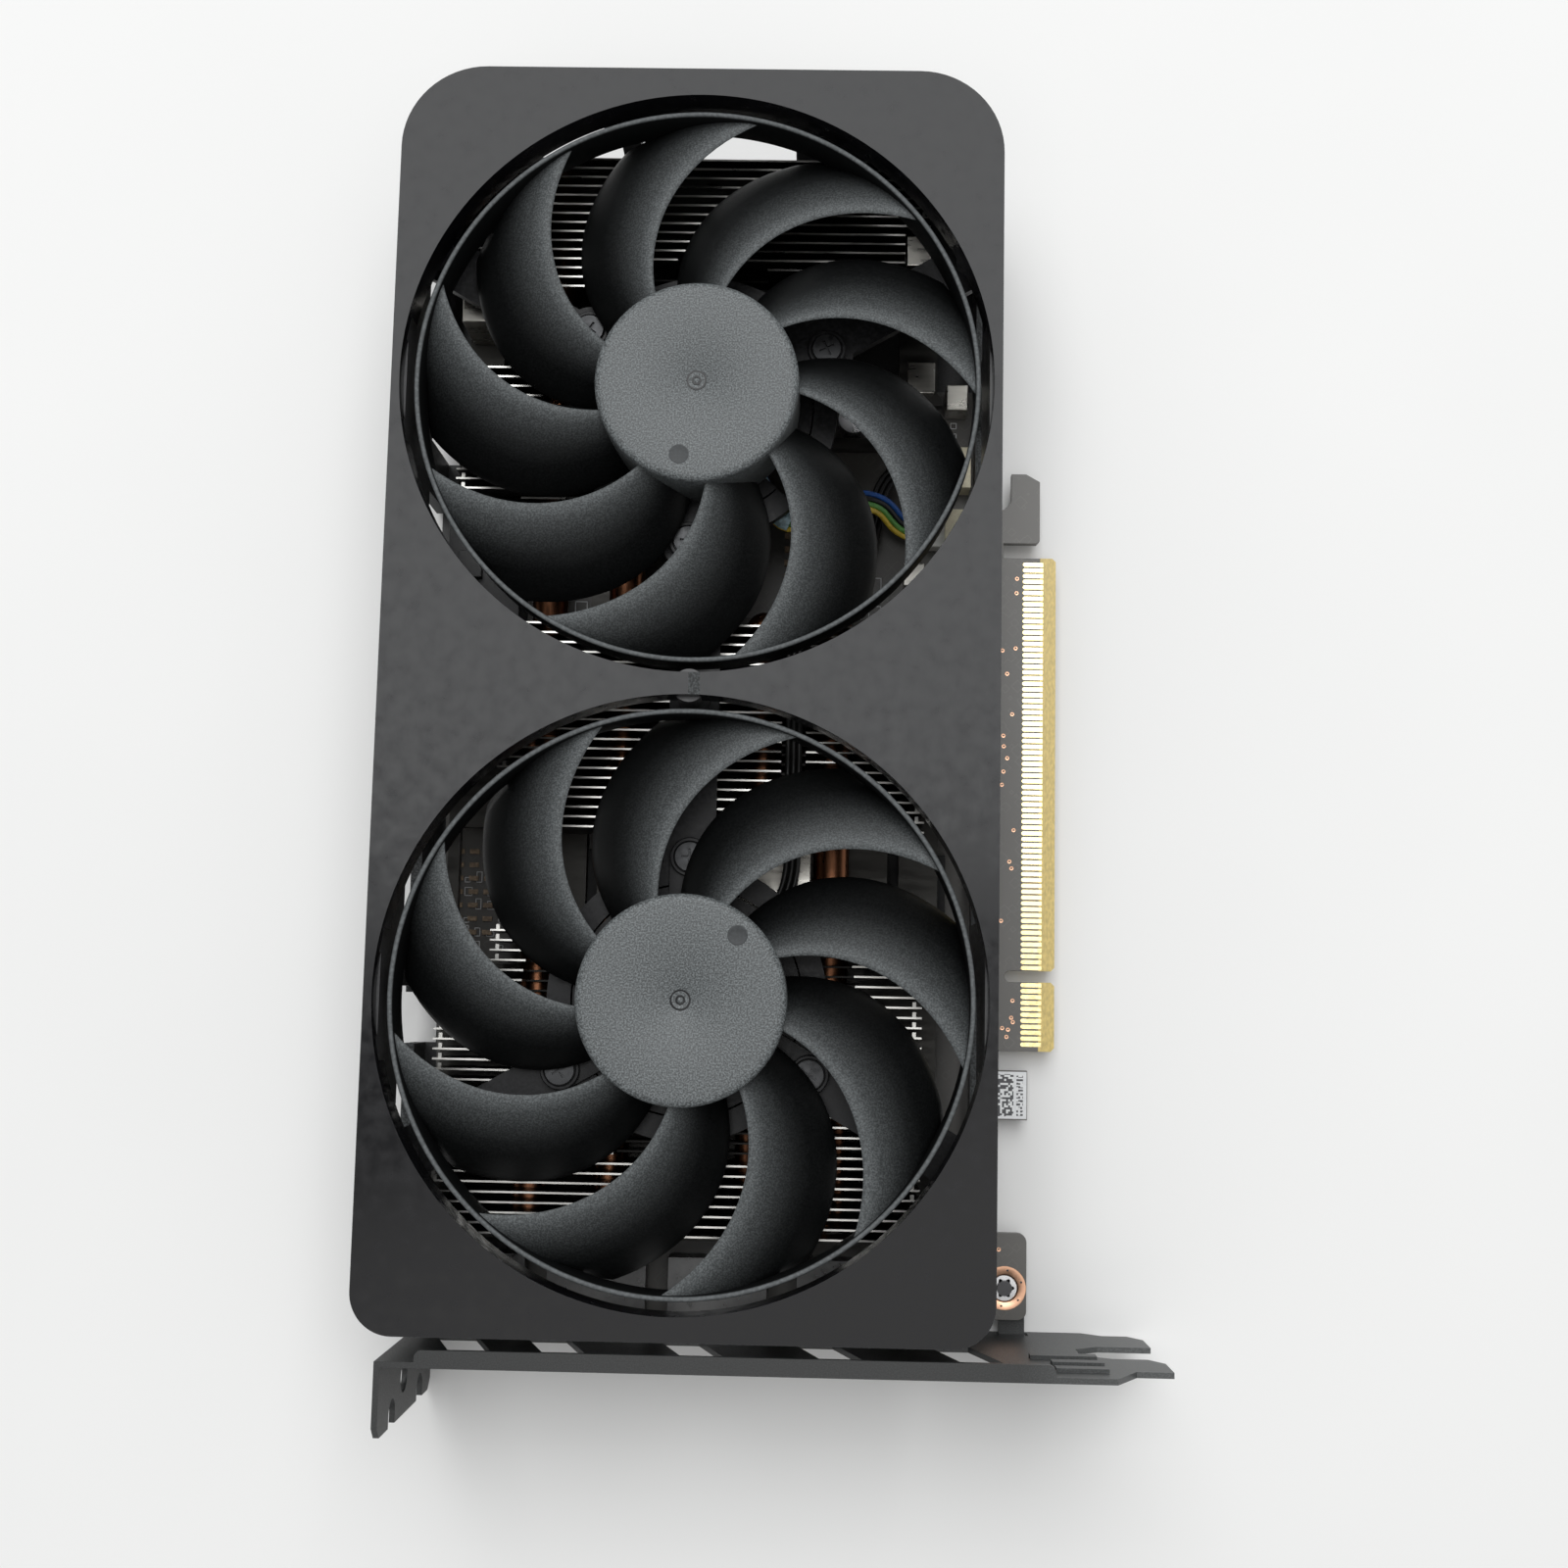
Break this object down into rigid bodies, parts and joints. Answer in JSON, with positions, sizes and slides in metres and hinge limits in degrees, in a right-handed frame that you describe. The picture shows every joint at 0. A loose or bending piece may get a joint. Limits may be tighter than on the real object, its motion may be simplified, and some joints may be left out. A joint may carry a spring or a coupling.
{
  "type": "graphics card",
  "caption": "Two-slot graphics card with a dark shroud, two axial fans over a finned cooler, an edge connector and a slot bracket.",
  "frame": {"origin": "centre of the bounding box's footprint, on the surface the backplate rests on", "axes": "+X towards the edge connector, +Y away from the slot bracket along the card, +Z out of the fans"},
  "size_m": [0.124, 0.2144, 0.04],
  "materials": {
    "shroud_plastic": "satin, fine texture",
    "backplate_metal": "satin",
    "black_steel": "satin",
    "steel": "satin",
    "board": "satin solder mask",
    "gold": "polished",
    "small_parts": "satin",
    "substrate": "satin",
    "silicon": "polished",
    "chip_black": "matt",
    "inductor_grey": "matt",
    "aluminium_can": "satin",
    "socket_black": "satin",
    "plated_shell": "satin",
    "cream_plastic": "satin",
    "bracket_black": "satin",
    "nickel": "satin",
    "bright_nickel": "satin",
    "copper": "polished",
    "fin_metal": "satin",
    "pad_grey": "matt",
    "label_white": "satin",
    "frame_plastic": "satin",
    "dark_screw": "satin",
    "fan_board_green": "satin",
    "brass": "satin",
    "copper_wire": "lacquered",
    "fan_plastic": "satin, fine texture",
    "magnet": "matt",
    "wire_sleeve": "satin",
    "plug_white": "satin"
  },
  "bodies": {
    "card": {"shroud": "shroud_plastic", "backplate": "backplate_metal", "backplate_screws": "black_steel", "rear_brace": "steel", "spring_washers": "steel", "cooler_screws": "steel", "circuit_board": "board", "edge_contacts": "gold", "small_board_parts": "small_parts", "processor_substrate": "substrate", "processor_die": "silicon", "memory_chips": "chip_black", "power_inductors": "inductor_grey", "power_stages": "chip_black", "capacitors": "aluminium_can", "power_socket": "socket_black", "power_socket_pins": "gold", "hdmi_socket": "plated_shell", "displayport_sockets": "plated_shell", "socket_tongues": "socket_black", "fan_sockets": "cream_plastic", "slot_bracket": "bracket_black", "bracket_screw": "steel", "cold_plate": "nickel", "pipe_clamp": "bright_nickel", "cooler_frame": "nickel", "frame_tabs": "bright_nickel", "heat_pipes": "copper", "near_fins": "fin_metal", "far_fins": "fin_metal", "thermal_pads": "pad_grey", "label": "label_white", "frame_screws": "steel", "near_fan_frame": "frame_plastic", "near_motor_base": "frame_plastic", "near_fan_screws": "dark_screw", "near_fan_board": "fan_board_green", "near_bearing_sleeve": "brass", "near_stator_core": "steel", "near_windings": "copper_wire", "near_fan_lead": "wire_sleeve", "near_fan_plug": "plug_white", "far_fan_frame": "frame_plastic", "far_motor_base": "frame_plastic", "far_fan_screws": "dark_screw", "far_fan_board": "fan_board_green", "far_bearing_sleeve": "brass", "far_stator_core": "steel", "far_windings": "copper_wire", "far_fan_lead": "wire_sleeve", "far_fan_plug": "plug_white"},
    "near_rotor": {"near_impeller": "fan_plastic", "near_rotor_yoke": "steel", "near_magnet_ring": "magnet", "near_shaft": "steel"},
    "far_rotor": {"far_impeller": "fan_plastic", "far_rotor_yoke": "steel", "far_magnet_ring": "magnet", "far_shaft": "steel"}
  },
  "joints": [
    {"name": "near_fan_spin", "type": "hinge", "parent": "card", "child": "near_rotor", "pos_m": [-0.01375, -0.0414, 0.0335], "axis": [0, 0, -1], "continuous": true},
    {"name": "far_fan_spin", "type": "hinge", "parent": "card", "child": "far_rotor", "pos_m": [-0.01375, 0.0559, 0.0335], "axis": [0, 0, -1], "continuous": true}
  ]
}
